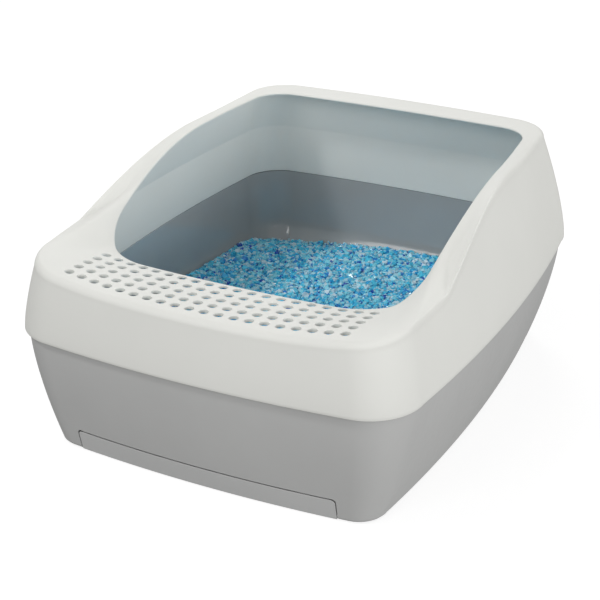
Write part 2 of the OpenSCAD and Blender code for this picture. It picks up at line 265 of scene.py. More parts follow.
def new_object(name, points, faces, sharp_deg=35):
    """A mesh object from points in millimetres, smooth except along sharp edges."""
    mesh = bpy.data.meshes.new(name)
    mesh.from_pydata((np.asarray(points) * MM).tolist(), [], faces)
    mesh.validate()
    obj = bpy.data.objects.new(name, mesh)
    bpy.context.scene.collection.objects.link(obj)
    face_outwards(mesh)
    shade(mesh, sharp_deg)
    return obj


def face_outwards(mesh):
    """Turns every face outwards."""
    bm = bmesh.new()
    bm.from_mesh(mesh)
    bmesh.ops.recalc_face_normals(bm, faces=bm.faces)
    bm.to_mesh(mesh)
    bm.free()


def shade(mesh, sharp_deg):
    """Shades a mesh smooth, except where faces meet at more than sharp_deg."""
    mesh.shade_smooth()
    mesh.set_sharp_from_angle(angle=math.radians(sharp_deg))


def tube_faces(first, rings, sides, closed=False):
    """Faces through rings of points, whose first point has the number first.

    A closed tube joins its last ring to its first, and an open one has a cap at each end.
    """
    faces = []
    for k in range(rings if closed else rings - 1):
        a = first + k * sides
        b = first + (k + 1) % rings * sides
        faces += [(a + i, a + (i + 1) % sides, b + (i + 1) % sides, b + i) for i in range(sides)]
    if not closed:
        end = first + (rings - 1) * sides
        faces.append(tuple(first + i for i in range(sides - 1, -1, -1)))
        faces.append(tuple(end + i for i in range(sides)))
    return faces


def loft(name, rings, closed=False, sharp_deg=35):
    """A skin through rings of equal length. A closed one joins its last ring to its first."""
    return new_object(name, np.vstack(rings), tube_faces(0, len(rings), len(rings[0]), closed), sharp_deg)


def box_mesh(name, low, high):
    """A box between two corners, in millimetres."""
    (x0, y0, z0), (x1, y1, z1) = low, high
    points = [(x, y, z) for z in (z0, z1) for y in (y0, y1) for x in (x0, x1)]
    faces = [(0, 2, 3, 1), (4, 5, 7, 6), (0, 1, 5, 4), (2, 6, 7, 3), (0, 4, 6, 2), (1, 3, 7, 5)]
    return new_object(name, points, faces)


def extruded(name, outline, z0, z1):
    """A prism over an outline given as points in plan."""
    n = len(outline)
    points = [(x, y, z) for z in (z0, z1) for x, y in outline]
    faces = [tuple(range(n)), tuple(range(n, 2 * n))]
    faces += [(i, (i + 1) % n, n + (i + 1) % n, n + i) for i in range(n)]
    return new_object(name, points, faces)


def drop(obj):
    """Removes an object and its mesh."""
    mesh = obj.data
    bpy.data.objects.remove(obj)
    bpy.data.meshes.remove(mesh)


def applied(obj, sharp_deg=35):
    """Replaces an object's mesh by the one its modifiers give."""
    bpy.context.view_layer.update()
    evaluated = obj.evaluated_get(bpy.context.evaluated_depsgraph_get())
    mesh = bpy.data.meshes.new_from_object(evaluated)
    old = obj.data
    obj.modifiers.clear()
    obj.data = mesh
    mesh.name = obj.name
    bpy.data.meshes.remove(old)
    shade(mesh, sharp_deg)
    return obj


def combine(obj, other, operation):
    """Cuts, joins or intersects obj with another object, which is used up."""
    step = obj.modifiers.new(operation, "BOOLEAN")
    step.operation = operation
    step.solver = "EXACT"
    step.object = other
    applied(obj)
    drop(other)
    return obj


def bevelled(obj, width, segments=2, angle_deg=40):
    """Rounds an object's sharp edges."""
    step = obj.modifiers.new("bevel", "BEVEL")
    step.width = width * MM
    step.segments = segments
    step.limit_method = "ANGLE"
    step.angle_limit = math.radians(angle_deg)
    step.harden_normals = False
    return applied(obj)


def joined(name, objects):
    """One object from several, which are used up."""
    bm = bmesh.new()
    for obj in objects:
        bm.from_mesh(obj.data)
    mesh = bpy.data.meshes.new(name)
    bm.to_mesh(mesh)
    bm.free()
    for obj in objects:
        drop(obj)
    out = bpy.data.objects.new(name, mesh)
    bpy.context.scene.collection.objects.link(out)
    shade(mesh, 35)
    return out


def place(obj, body, slot, material, *nodes):
    """Puts a finished piece on its body, with its material, in place of its CAD nodes."""
    obj.data.materials.clear()
    obj.data.materials.append(material)
    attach(obj, body)
    if nodes:
        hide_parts(*nodes)


# ---- Materials -----------------------------------------------------------------------------

class Nodes:
    """A material's node tree, with short ways to add to it."""

    def __init__(self, name):
        self.material = bpy.data.materials.new(name)
        self.material.use_nodes = True
        self.tree = self.material.node_tree
        self.shader = self.tree.nodes["Principled BSDF"]
        self.place = self.tree.nodes.new("ShaderNodeTexCoord").outputs["Object"]

    def add(self, kind, **settings):
        """A new node; settings name its properties, or its inputs with _ for a space."""
        node = self.tree.nodes.new(kind)
        for key, value in settings.items():
            if hasattr(node, key):
                setattr(node, key, value)
            else:
                node.inputs[key.replace("_", " ")].default_value = value
        return node

    def link(self, out, into):
        """Joins an output to an input."""
        self.tree.links.new(out, into)

    def noise(self, size_mm, detail=2.0, rough=0.5):
        """Noise whose lumps are about size_mm across."""
        node = self.add("ShaderNodeTexNoise", Scale=1 / (size_mm * MM), Detail=detail, Roughness=rough)
        self.link(self.place, node.inputs["Vector"])
        return node.outputs["Fac"]

    def ramp(self, value, stops, constant=False):
        """Colours along a value; stops are (place, colour) pairs."""
        node = self.add("ShaderNodeValToRGB")
        ramp = node.color_ramp
        ramp.interpolation = "CONSTANT" if constant else "LINEAR"
        while len(ramp.elements) < len(stops):
            ramp.elements.new(1.0)
        for element, (at, colour) in zip(ramp.elements, stops):
            element.position = at
            element.color = (*colour, 1.0)
        self.link(value, node.inputs["Fac"])
        return node.outputs["Color"]

    def spread(self, value, low, high):
        """The usual span of noise, 0.3 to 0.7, stretched to run from low to high."""
        node = self.add("ShaderNodeMapRange", From_Min=0.3, From_Max=0.7, To_Min=low, To_Max=high)
        self.link(value, node.inputs["Value"])
        return node.outputs["Result"]

    def bump(self, height, depth_mm, below=None):
        """Relief of about depth_mm, on top of another one if given."""
        node = self.add("ShaderNodeBump", Strength=1.0, Distance=depth_mm * MM)
        self.link(height, node.inputs["Height"])
        if below is not None:
            self.link(below, node.inputs["Normal"])
        return node.outputs["Normal"]


def moulded_plastic(name, dark, light, gloss, grain, coat=0.0, specular=0.5):
    """Injection-moulded plastic: faint mottling, slightly wavy walls and a fine moulded grain.

    gloss is the lowest and highest roughness, and grain the size and depth of the grain in mm.
    """
    n = Nodes(name)
    grain_mm, grain_depth_mm = grain
    n.link(n.ramp(n.noise(90, 4), [(0.3, dark), (0.7, light)]), n.shader.inputs["Base Color"])
    n.link(n.spread(n.noise(7, 3), *gloss), n.shader.inputs["Roughness"])
    wave = n.bump(n.noise(45, 1), 0.02)
    n.link(n.bump(n.noise(grain_mm, 3), grain_depth_mm, wave), n.shader.inputs["Normal"])
    n.shader.inputs["Specular IOR Level"].default_value = specular
    if coat:
        n.shader.inputs["Coat Weight"].default_value = coat
        n.shader.inputs["Coat Roughness"].default_value = 0.07
    return n.material


def crystal_material(name):
    """Silica gel grains, near white, sky blue and a few deep blue.

    Which of these a grain has, it carries as an attribute called tone.
    """
    n = Nodes(name)
    tone = n.add("ShaderNodeAttribute", attribute_name="tone").outputs["Fac"]
    stops = [
        (0.00, (0.64, 0.84, 0.95)),
        (0.14, (0.43, 0.79, 0.93)),
        (0.34, (0.25, 0.75, 0.92)),
        (0.58, (0.08, 0.62, 0.89)),
        (0.81, (0.04, 0.46, 0.84)),
        (0.93, (0.03, 0.27, 0.72)),
        (0.97, (0.02, 0.11, 0.54)),
    ]
    n.link(n.ramp(tone, stops, constant=True), n.shader.inputs["Base Color"])
    n.link(n.spread(n.noise(3, 2), 0.12, 0.4), n.shader.inputs["Roughness"])
    n.link(n.bump(n.noise(0.8, 2), 0.08), n.shader.inputs["Normal"])
    n.shader.inputs["Coat Weight"].default_value = 0.3
    return n.material


def rubber_material(name):
    """Dark matt rubber with a fine grain."""
    n = Nodes(name)
    n.link(n.ramp(n.noise(6, 3), [(0.3, (0.035, 0.035, 0.037)), (0.7, (0.06, 0.06, 0.062))]),
           n.shader.inputs["Base Color"])
    n.link(n.spread(n.noise(2, 2), 0.75, 0.9), n.shader.inputs["Roughness"])
    n.link(n.bump(n.noise(0.5, 2), 0.05), n.shader.inputs["Normal"])
    return n.material


hood_plastic = moulded_plastic(
    "hood_plastic", (0.785, 0.787, 0.750), (0.805, 0.807, 0.770), (0.55, 0.62), (1.1, 0.012), specular=0.3)
tub_plastic = moulded_plastic(
    "tub_plastic", (0.520, 0.522, 0.515), (0.545, 0.548, 0.540), (0.40, 0.50), (0.9, 0.015))
drawer_plastic = moulded_plastic(
    "drawer_plastic", (0.565, 0.568, 0.562), (0.590, 0.593, 0.587), (0.40, 0.50), (0.9, 0.015))
pan_plastic = moulded_plastic(
    "pan_plastic", (0.362, 0.371, 0.374), (0.384, 0.393, 0.396), (0.14, 0.17), (3.0, 0.002), coat=0.9)
scoop_plastic = moulded_plastic(
    "scoop_plastic", (0.30, 0.33, 0.35), (0.33, 0.36, 0.38), (0.25, 0.35), (1.5, 0.01))
pad_rubber = rubber_material("pad_rubber")
silica_crystals = crystal_material("silica_crystals")


# ---- Hood ----------------------------------------------------------------------------------

def ease(t):
    """0 to 1, leaving both ends level."""
    return t * t * (3 - 2 * t)


def rise(y, start, end, power):
    """Runs smoothly from 0 at start to 1 at end."""
    t = np.clip((y - start) / (end - start), 0, 1)
    return ease(t ** power * (1 - np.exp(-t / RISE_SOFTNESS)))


def crest_z(p):
    """Height of the hood's top edge over points in plan."""
    front = CREST_FRONT_Z + CORNER_RISE * np.abs(p[:, 0] / CORNER_RISE_X) ** 3
    return front + (CREST_BACK_Z - front) * rise(p[:, 1], *CREST_RISE)


def opening_z(p):
    """Height of the edge round the top opening."""
    return OPENING_FRONT_Z + (OPENING_BACK_Z - OPENING_FRONT_Z) * rise(p[:, 1], *OPENING_RISE)


OPENING = whole(half_outline(OPENING_HALF_W[0], *OPENING_Y, *OPENING_R, *OPENING_BOW,
                             taper=OPENING_HALF_W[0] - OPENING_HALF_W[1] - BARREL / 2))


def wall_at(d, z):
    """Points of the hood's wall, d inside its outer face, at the heights z."""
    low, high = inset_outline(d), leaned_outline(d)
    g = (np.maximum(0, z - SKIRT_Z) / LEAN_SPAN) ** LEAN_POWER
    return np.column_stack([low + (high - low) * g[:, None], z])


def wall_heights(d, s):
    """Heights of the hood's wall, d inside its outer face, at the share s of the way up."""
    return SKIRT_Z + s * (crest_z(inset_outline(d)) - EDGE_R - SKIRT_Z)


def inward(ring):
    """Unit steps in plan from each point of a ring towards the opening."""
    v = OPENING - ring[:, :2]
    return v / np.linalg.norm(v, axis=1)[:, None]


def edge_ring(wall, r, angle):
    """The rounded top edge, at an angle in degrees from the wall's top."""
    a = math.radians(angle)
    plan = wall[:, :2] + inward(wall) * r * (1 - math.cos(a))
    return np.column_stack([plan, wall[:, 2] + r * math.sin(a)])


def flange_ring(edge, s):
    """The flange, at the share s of the way from the top edge, which it leaves level, to the opening."""
    end = np.column_stack([OPENING, opening_z(OPENING)])
    ring = edge + (end - edge) * s
    ring[:, 2] += (edge[:, 2] - end[:, 2]) * s * (1 - s) ** 2
    return ring


def lip_ring(edge, d, dropped):
    """The lip round the opening, back from its edge by d and down by dropped."""
    return np.column_stack([OPENING - inward(edge) * d, opening_z(OPENING) - dropped])


def crease_heights():
    """Height of the crease on the inner wall, which stays below the top edge."""
    return np.minimum(CREASE_Z, wall_heights(HOOD_T, 1) - 1)


def outer_rings():
    """The outside, from the lower edge up the wall, over the top edge and the flange, and round the lip."""
    top = wall_at(0, wall_heights(0, 1))
    edge = edge_ring(top, EDGE_R, 90)
    lip_r = HOOD_T / 2
    rings = [ring_at(inset_outline(SKIRT_EDGE), SKIRT_Z)]
    rings += [ring_at(inset_outline(0.3 * SKIRT_EDGE), SKIRT_Z + 0.25 * SKIRT_EDGE)]
    rings += [wall_at(0, wall_heights(0, s)) for s in np.linspace(0.015, 1, 22)]
    rings += [edge_ring(top, EDGE_R, a) for a in np.linspace(10, 90, 9)]
    rings += [flange_ring(edge, s) for s in (0.08, 0.2, 0.35, 0.5, 0.65, 0.8, 0.92)]
    rings += [lip_ring(edge, lip_r * (1 - math.sin(a)), lip_r * (1 - math.cos(a)))
              for a in np.radians([0, 30, 60, 90, 120, 150])]
    return rings


def inner_rings(lip):
    """The inside, from the lip along the flange and down past the crease to the inner skirt's edge."""
    top = wall_at(HOOD_T, wall_heights(HOOD_T, 1))
    r = EDGE_R - HOOD_T
    edge = edge_ring(top, r, 90)
    face = inset_outline(INNER_D)
    crease_z = crease_heights()
    crease = ring_at(face, crease_z)
    face_low = INNER_SKIRT_Z + INNER_SKIRT_EDGE
    rings = [lip + (edge - lip) * s for s in (0.1, 0.33, 0.66)]
    rings += [edge_ring(top, r, a) for a in (90, 67, 45, 22)]
    rings += [top + (crease - top) * s for s in (0, 0.02, 0.5, 0.98)]
    rings += [ring_at(face, crease_z + s * (face_low - crease_z)) for s in (0, 0.01, 0.3, 0.65, 1)]
    rings += [ring_at(inset_outline(INNER_D - INNER_SKIRT_EDGE), INNER_SKIRT_Z)]
    return rings


def channel_rings():
    """The channel between the two skirts, which covers the pan's rim."""
    roof_z = crease_heights() - CHANNEL_ROOF
    back = inset_outline(INNER_D - INNER_T)
    rings = [ring_at(back, INNER_SKIRT_Z + s * (roof_z - INNER_SKIRT_Z)) for s in (0, 0.5, 1)]
    rings += [wall_at(HOOD_T, SKIRT_Z + s * (roof_z - SKIRT_Z)) for s in (1, 0.66, 0.33)]
    return rings + [ring_at(inset_outline(HOOD_T), SKIRT_Z)]


def hood_shell():
    """The hood as one closed skin, without its holes."""
    outer = outer_rings()
    rings = outer + inner_rings(outer[-1]) + channel_rings()
    return loft("hood_shell", rings, closed=True, sharp_deg=40)


def hole_places():
    """Plan positions of the holes, whose rows follow the step's bowed front."""
    for row in range(HOLE_ROWS):
        for col in range(HOLE_COLS):
            x = (col - (HOLE_COLS - 1) / 2) * HOLE_PITCH
            yield x, FIRST_ROW_Y + row * ROW_PITCH + ROW_CURVE * (x / ROW_CURVE_X) ** 2


def hole_cutters(skin):
    """Round cutters that flare out where they leave the step, to give each hole a soft edge."""
    tree = BVHTree.FromObject(skin, bpy.context.evaluated_depsgraph_get())
    turns = [2 * math.pi * i / HOLE_SIDES for i in range(HOLE_SIDES)]
    points, faces = [], []
    for x, y in hole_places():
        spot, up, _, _ = tree.ray_cast(Vector((x, y, ABOVE_HOOD_Z)) * MM, Vector((0, 0, -1)))
        faces += tube_faces(len(points), len(HOLE_FLARE), HOLE_SIDES)
        for above, wider in HOLE_FLARE:
            for a in turns:
                dx = (HOLE_D / 2 + wider) * math.cos(a)
                dy = (HOLE_D / 2 + wider) * math.sin(a)
                tilt = -(up.x * dx + up.y * dy) / up.z
                points.append((x + dx, y + dy, spot.z / MM + above + tilt))
    return new_object("hole_cutters", points, faces)


def skin_normal(skin, tree, co):
    """The smooth normal of a skin at its point nearest to co."""
    _, _, index, _ = tree.find_nearest(co)
    around = [skin.vertices[v] for v in skin.polygons[index].vertices]
    weights = poly_3d_calc([vertex.co for vertex in around], co)
    return sum((vertex.normal * w for vertex, w in zip(around, weights)), Vector()).normalized()


def keep_smooth(cut, skin, low, high):
    """Gives faces of cut that lie on skin, between two corners, the skin's own normals.

    Without this, the long faces between holes would show as dents.
    """
    tree = BVHTree.FromObject(skin, bpy.context.evaluated_depsgraph_get())
    mesh = cut.data
    normals = [corner.vector.copy() for corner in mesh.corner_normals]
    for face in mesh.polygons:
        centre = face.center / MM
        if not all(low[k] < centre[k] < high[k] for k in range(3)):
            continue
        _, normal, _, distance = tree.find_nearest(face.center)
        if distance > 0.05 * MM or normal.dot(face.normal) < 0.95:
            continue
        for corner in face.loop_indices:
            smooth = skin_normal(skin.data, tree, mesh.vertices[mesh.loops[corner].vertex_index].co)
            if smooth.dot(face.normal) > 0.9:
                normals[corner] = smooth
    mesh.normals_split_custom_set(normals)


def make_hood():
    """The hood, with its holes cut and its step's shading kept smooth between them."""
    skin = hood_shell()
    hood = skin.copy()
    hood.data = skin.data.copy()
    hood.name = "hood_skin"
    bpy.context.scene.collection.objects.link(hood)
    bpy.context.view_layer.update()
    combine(hood, hole_cutters(skin), "DIFFERENCE")
    keep_smooth(hood, skin, STEP_LOW, STEP_HIGH)
    drop(skin)
    place(hood, "hood", "hood_plastic", hood_plastic, "hood")


# ---- Tub -----------------------------------------------------------------------------------

def tub_outline(z, d):
    """Outline of the tub at a height above its floor, d inside its outer face."""
    w = (1 - min(1, z / SKIRT_Z)) ** FLARE_POWER
    e = TUB_D + d
    return whole(half_outline(HALF_W - e - FLARE["side"] * w, FRONT_Y + e + FLARE["front"] * w,
                              BACK_Y - e - FLARE["back"] * w, FRONT_CORNER_R - e - FLARE["front_r"] * w,
                              BACK_CORNER_R - e - FLARE["back_r"] * w, FRONT_BOW - FLARE["front_bow"] * w,
                              BACK_BOW - FLARE["back_bow"] * w))


def tub_front_y(x, z):
    """Front face of the tub at x, at a height above its floor."""
    w = (1 - min(1, max(0, z) / SKIRT_Z)) ** FLARE_POWER
    yf = FRONT_Y + TUB_D + FLARE["front"] * w
    af = side_x(HALF_W - TUB_D - FLARE["side"] * w, yf + FRONT_CORNER_R - TUB_D - FLARE["front_r"] * w)
    return yf - (FRONT_BOW - FLARE["front_bow"] * w) * (1 - (x / af) ** 2)


def panel_top(x, half_w, top, r):
    """Top edge of the drawer's panel at x: level, with rounded corners."""
    over = abs(x) - (half_w - r)
    return top if over <= 0 else top - r + math.sqrt(max(0, r * r - over * over))


def tub_shell():
    """The tub as one skin, before the bay for the drawer is cut."""
    stretch = (TUB_RIM_Z - FOOT_H) / TUB_RIM_Z
    heights = np.concatenate([[TUB_EDGE_R, 4, 8], np.linspace(14, TUB_RIM_Z - 1, 26)])
    rings = []
    for a in np.radians([0, 30, 60]):
        inset = TUB_EDGE_R * (1 - math.sin(a))
        rings.append(ring_at(tub_outline(0, inset), FOOT_H + TUB_EDGE_R * (1 - math.cos(a))))
    rings += [ring_at(tub_outline(z, 0), FOOT_H + z * stretch) for z in heights]
    rings += [ring_at(tub_outline(TUB_RIM_Z, d), TUB_RIM_Z) for d in (TUB_RIM_EDGE, TUB_T - TUB_RIM_EDGE)]
    rings += [ring_at(tub_outline(z, TUB_T), FOOT_H + z * stretch) for z in heights[:0:-1]]
    rings += [ring_at(tub_outline(TUB_EDGE_R, TUB_T + TUB_FOOT_FILLET), FLOOR_TOP_Z)]
    return loft("tub_shell", rings)


def bay_cutter():
    """The drawer's way through the front wall, a little larger than its panel and open below."""
    r = PANEL_R
    x, z = DRAWER_HALF_W + BAY_GAP - r, DRAWER_TOP_Z + BAY_GAP - r
    arc = np.radians(np.linspace(0, 90, 9))
    outline = [(-x - r, BAY_LOW_Z), (x + r, BAY_LOW_Z)]
    outline += [(x + r * math.cos(a), z + r * math.sin(a)) for a in arc]
    outline += [(-x - r * math.sin(a), z + r * math.cos(a)) for a in arc]
    cutter = extruded("bay_cutter", outline, -BAY_INNER_Y, -BAY_OUTER_Y)
    cutter.data.transform(Matrix.Rotation(math.radians(90), 4, "X"))
    face_outwards(cutter.data)
    return cutter


def rib_boxes():
    """Guides beside the drawer, a stop behind it, and ribs behind that, which carry the pan."""
    low, top = FLOOR_TOP_Z - OVERLAP, PAN_FLOOR_Z - FIT_GAP
    inner = DRAWER_HALF_W + GUIDE_GAP
    outer = inner + GUIDE_T
    front = BAY_INNER_Y - GUIDE_LEAD
    stop = DRAWER_BACK_Y + GUIDE_GAP
    joint = stop + GUIDE_T - OVERLAP
    yield (inner, front, low), (outer, joint, top)
    yield (-outer, front, low), (-inner, joint, top)
    yield (-outer, stop, low), (outer, stop + GUIDE_T, top)
    for x in RIB_XS:
        yield (x - GUIDE_T / 2, joint, low), (x + GUIDE_T / 2, stop + RIB_REACH, top)


def make_tub():
    """The tub with its bay, and the ribs on its floor."""
    tub = tub_shell()
    combine(tub, bay_cutter(), "DIFFERENCE")
    place(tub, "base", "tub_plastic", tub_plastic, "base_tub")
    ribs = joined("tub_ribs", [bevelled(box_mesh("rib", *corners), 0.5) for corners in rib_boxes()])
    place(ribs, "base", "tub_plastic", tub_plastic)


# ---- Litter pan ----------------------------------------------------------------------------

def pan_outline(d, z):
    """Outline at the height z, d inside the pan's inner face."""
    w = (JOG_Z - z) * PAN_SLOPE
    e = INNER_D + PAN_STEP + w + d
    front_r = max(PAN_LEAST_R, FRONT_CORNER_R - PAN_R_LOSS * e)
    back_r = max(PAN_LEAST_R, BACK_CORNER_R - PAN_R_LOSS * e)
    return whole(half_outline(HALF_W - e, FRONT_Y + e, BACK_Y - e, front_r, back_r,
                              FRONT_BOW - PAN_BOW_LOSS[0] * w, BACK_BOW - PAN_BOW_LOSS[1] * w))


def pan_bowl(grown):
    """Rings of the bowl's face from its rim down to its floor; grown is 0 inside and PAN_T outside."""
    r = PAN_FILLET + grown
    low = PAN_FLOOR_Z + PAN_T - grown
    knee = PAN_FLOOR_Z + PAN_T + PAN_FILLET
    walls = [ring_at(pan_outline(-grown, z), z) for z in np.linspace(JOG_Z - JOG_EDGE, knee, 10)]
    turns = np.radians(np.linspace(5, 90, 18))
    curve = [(r * (1 - math.cos(a)) - grown, low + r * (1 - math.sin(a))) for a in turns]
    return walls + [ring_at(pan_outline(d, z), z) for d, z in curve]


def pan_rim():
    """Rings of the step near the top and the turned-out rim, from below the rim round to its inside."""
    up = INNER_D - INNER_T - FIT_GAP
    low = PAN_RIM_Z - PAN_FLANGE_T
    return [
        ring_at(inset_outline(up - PAN_T), JOG_Z - 2 * JOG_EDGE),
        ring_at(inset_outline(up - PAN_T), low),
        ring_at(inset_outline(PAN_EDGE_D + PAN_EDGE), low),
        ring_at(inset_outline(PAN_EDGE_D), low + PAN_EDGE),
        ring_at(inset_outline(PAN_EDGE_D), PAN_RIM_Z - PAN_EDGE),
        ring_at(inset_outline(PAN_EDGE_D + PAN_EDGE), PAN_RIM_Z),
        ring_at(inset_outline(up - PAN_EDGE), PAN_RIM_Z),
        ring_at(inset_outline(up), PAN_RIM_Z - PAN_EDGE),
        ring_at(inset_outline(up), JOG_Z),
        ring_at(inset_outline(INNER_D + PAN_STEP - JOG_EDGE), JOG_Z),
    ]


def make_pan():
    """The litter pan: a bowl under a turned-out rim."""
    pan = loft("pan_bowl", pan_bowl(PAN_T)[::-1] + pan_rim() + pan_bowl(0))
    place(pan, "pan", "pan_plastic", pan_plastic, "litter_pan")


# ---- Litter --------------------------------------------------------------------------------

LITTER_Z = 62.5
BED_LOW_Z = PAN_FLOOR_Z + 8
BED_DROP = 0.8
# Depth, middle and spread in plan of the dip in the back left corner
DIP = -13
DIP_PLACE = (-150, 235)
DIP_SPREAD = (75, 25)
# How much of the pan's width and length the loose grains take up
GRAIN_REACH = (0.985, 0.988)
CHIP_KINDS = 40
CHIP_SHAPE = (1, 1, 0.75)
rng = np.random.default_rng(20)


def mounds(x, y, height, width, layer):
    """Low mounds of about this height and width; each layer has its own."""
    return height * noise.noise(Vector((x / width, y / width, layer)))


def litter_z(x, y):
    """Height of the litter over a point in plan: low mounds, and a dip in the back left corner."""
    away = ((x - DIP_PLACE[0]) / DIP_SPREAD[0]) ** 2 + ((y - DIP_PLACE[1]) / DIP_SPREAD[1]) ** 2
    lumps = mounds(x, y, 2.2, 70, 0.3) + mounds(x, y, 1.0, 25, 7.0)
    return LITTER_Z + DIP * math.exp(-away / 2) + lumps


def litter_edge(z):
    """Inner face of the pan at the height z of the litter."""
    sine = 1 - (z - PAN_FLOOR_Z - PAN_T) / PAN_FILLET
    return pan_outline(PAN_FILLET * (1 - math.sqrt(1 - sine * sine)), z)


def inside(x, y, outline):
    """True for points in plan that lie inside an outline."""
    hit = np.zeros(len(x), bool)
    x0, y0 = outline[-1]
    for x1, y1 in outline:
        crosses = (y1 > y) != (y0 > y)
        if crosses.any():
            at = (x0 - x1) * (y[crosses] - y1) / (y0 - y1) + x1
            hit[crosses] ^= x[crosses] < at
        x0, y0 = x1, y1
    return hit


def grain_shapes(count):
    """Irregular chips: boxes with their corners pushed about."""
    corners = np.array([(x, y, z) for x in (-1, 1) for y in (-1, 1) for z in (-1, 1)], float)
    return [corners * rng.uniform(0.55, 1.0, (8, 3)) + rng.uniform(-0.25, 0.25, (8, 3))
            for _ in range(count)]


GRAIN_FACES = np.array([(0, 1, 3, 2), (4, 6, 7, 5), (0, 4, 5, 1), (2, 3, 7, 6), (0, 2, 6, 4), (1, 5, 7, 3)])


def turned(shape):
    """A chip turned at random."""
    turn = Euler(rng.uniform(0, 2 * math.pi, 3)).to_matrix()
    return shape @ np.array(turn)


def give_tones(piece, tones):
    """Stores one colour tone, from 0 to 1, for each face of a piece."""
    tone = piece.data.attributes.new("tone", "FLOAT", "FACE")
    tone.data.foreach_set("value", tones.astype(np.float32))


def scattered(count):
    """Random points in plan over the litter, count of them at most."""
    edge = litter_edge(LITTER_Z)
    low, high = edge.min(0), edge.max(0)
    x = rng.uniform(low[0], high[0], count * 2)
    y = rng.uniform(low[1], high[1], count * 2)
    keep = inside(x, y, edge * GRAIN_REACH)
    return x[keep][:count], y[keep][:count]


def grain_piece(name, count, size_low, size_high, depth):
    """A layer of loose grains over the bed, with one colour tone for each grain."""
    shapes = grain_shapes(CHIP_KINDS)
    x, y = scattered(count)
    sizes = rng.uniform(size_low, size_high, len(x)) / 2
    sizes *= rng.choice([1.0, 1.35], len(x), p=[0.85, 0.15])
    tones = rng.uniform(0, 1, len(x))
    points = []
    for k in range(len(x)):
        chip = turned(shapes[k % CHIP_KINDS]) * sizes[k] * CHIP_SHAPE
        points.append(chip + (x[k], y[k], litter_z(x[k], y[k]) + rng.uniform(-depth, 0.5)))
    faces = (GRAIN_FACES[None] + 8 * np.arange(len(x))[:, None, None]).reshape(-1, 4)
    piece = new_object(name, np.vstack(points), faces.tolist(), sharp_deg=20)
    give_tones(piece, np.repeat(tones, len(GRAIN_FACES)))
    return piece


def make_bed():
    """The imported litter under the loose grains: a lumpy top over a plain bottom."""
    edge = litter_edge(LITTER_Z)
    centre = edge.mean(0)
    shares = np.concatenate([[1.0, 0.994], np.linspace(0.985, 0.02, 78)])
    rings = [ring_at(pan_outline(PAN_FILLET * 0.55, BED_LOW_Z), BED_LOW_Z)]
    for share in shares:
        plan = centre + (edge - centre) * share
        lumps = rng.uniform(-1.4, 0.3, len(plan)) - (BED_DROP if share == 1.0 else 0)
        rings.append(ring_at(plan, [litter_z(*p) - BED_DROP + lump for p, lump in zip(plan, lumps)]))
    bed = loft("litter_bed", rings, sharp_deg=20)
    give_tones(bed, rng.uniform(0, 1, len(bed.data.polygons)))
    return bed


def make_litter():
    """The bed, and two layers of loose grains on it."""
    place(make_bed(), "pan", "silica_crystals", silica_crystals, "litter_crystals")
    coarse = grain_piece("litter_grains_coarse", 8000, 3.4, 6.0, 1.2)
    fine = grain_piece("litter_grains_fine", 10000, 1.8, 3.2, 0.2)
    place(coarse, "pan", "silica_crystals", silica_crystals)
    place(fine, "pan", "silica_crystals", silica_crystals)


# ---- Scoop drawer --------------------------------------------------------------------------

def make_panel():
    """The drawer's front, which carries on the curve of the tub and thins out towards its top."""
    nx, nz = 96, 12
    points = []
    for back in (0, PANEL_T):
        for x in DRAWER_HALF_W * np.sin(np.linspace(-1, 1, nx + 1) * math.pi / 2):
            top = panel_top(x, DRAWER_HALF_W, DRAWER_TOP_Z, PANEL_R) - back
            for z in np.linspace(FOOT_H, top, nz + 1):
                points.append((x, tub_front_y(x, z - FOOT_H) + back, z))
    row, side = nz + 1, (nx + 1) * (nz + 1)
    faces = []
    for i in range(nx):
        for j in range(nz):
            a = i * row + j
            faces.append((a, a + row, a + row + 1, a + 1))
            faces.append((side + a, side + a + 1, side + a + row + 1, side + a + row))
        for a in (i * row, i * row + nz):
            faces.append((a, a + row, side + a + row, side + a))
    for j in range(nz):
        for a in (j, nx * row + j):
            faces.append((a, a + 1, side + a + 1, side + a))
    panel = new_object("drawer_panel", points, faces)
    return bevelled(panel, 0.25, 2, 40)


def finger_room(name, wall):
    """Room behind the panel's lower edge for the fingers that pull the drawer."""
    y = tub_front_y(0, PANEL_MID_Z) + PANEL_T - OVERLAP
    low = DRAWER_FLOOR_Z if wall else DRAWER_FLOOR_Z - 1
    return box_mesh(name, (-FINGER_W / 2 - wall, y, low),
                    (FINGER_W / 2 + wall, FINGER_BACK_Y + wall, FINGER_H + wall))


def make_tray():
    """The drawer's tray behind its panel."""
    half = DRAWER_HALF_W - TRAY_INSET
    front = [(x, tub_front_y(x, PANEL_MID_Z) + TRAY_FRONT) for x in np.linspace(-half, half, 33)]
    tray = extruded("drawer_tray", front + [(half, DRAWER_BACK_Y), (-half, DRAWER_BACK_Y)],
                    DRAWER_FLOOR_Z, DRAWER_FLOOR_Z + TRAY_H)
    inner = half - TRAY_T
    room = [(x * inner / half, y + TRAY_FRONT_T) for x, y in front]
    room += [(inner, DRAWER_BACK_Y - TRAY_T), (-inner, DRAWER_BACK_Y - TRAY_T)]
    combine(tray, extruded("room", room, DRAWER_FLOOR_Z + TRAY_T, ABOVE_TRAY_Z), "DIFFERENCE")
    combine(tray, finger_room("room", TRAY_T), "UNION")
    combine(tray, finger_room("room", 0), "DIFFERENCE")
    return bevelled(tray, 0.4)


def make_drawer():
    """The drawer: its panel and the tray behind it."""
    place(make_panel(), "drawer", "drawer_plastic", drawer_plastic, "scoop_drawer")
    place(make_tray(), "drawer", "drawer_plastic", drawer_plastic)


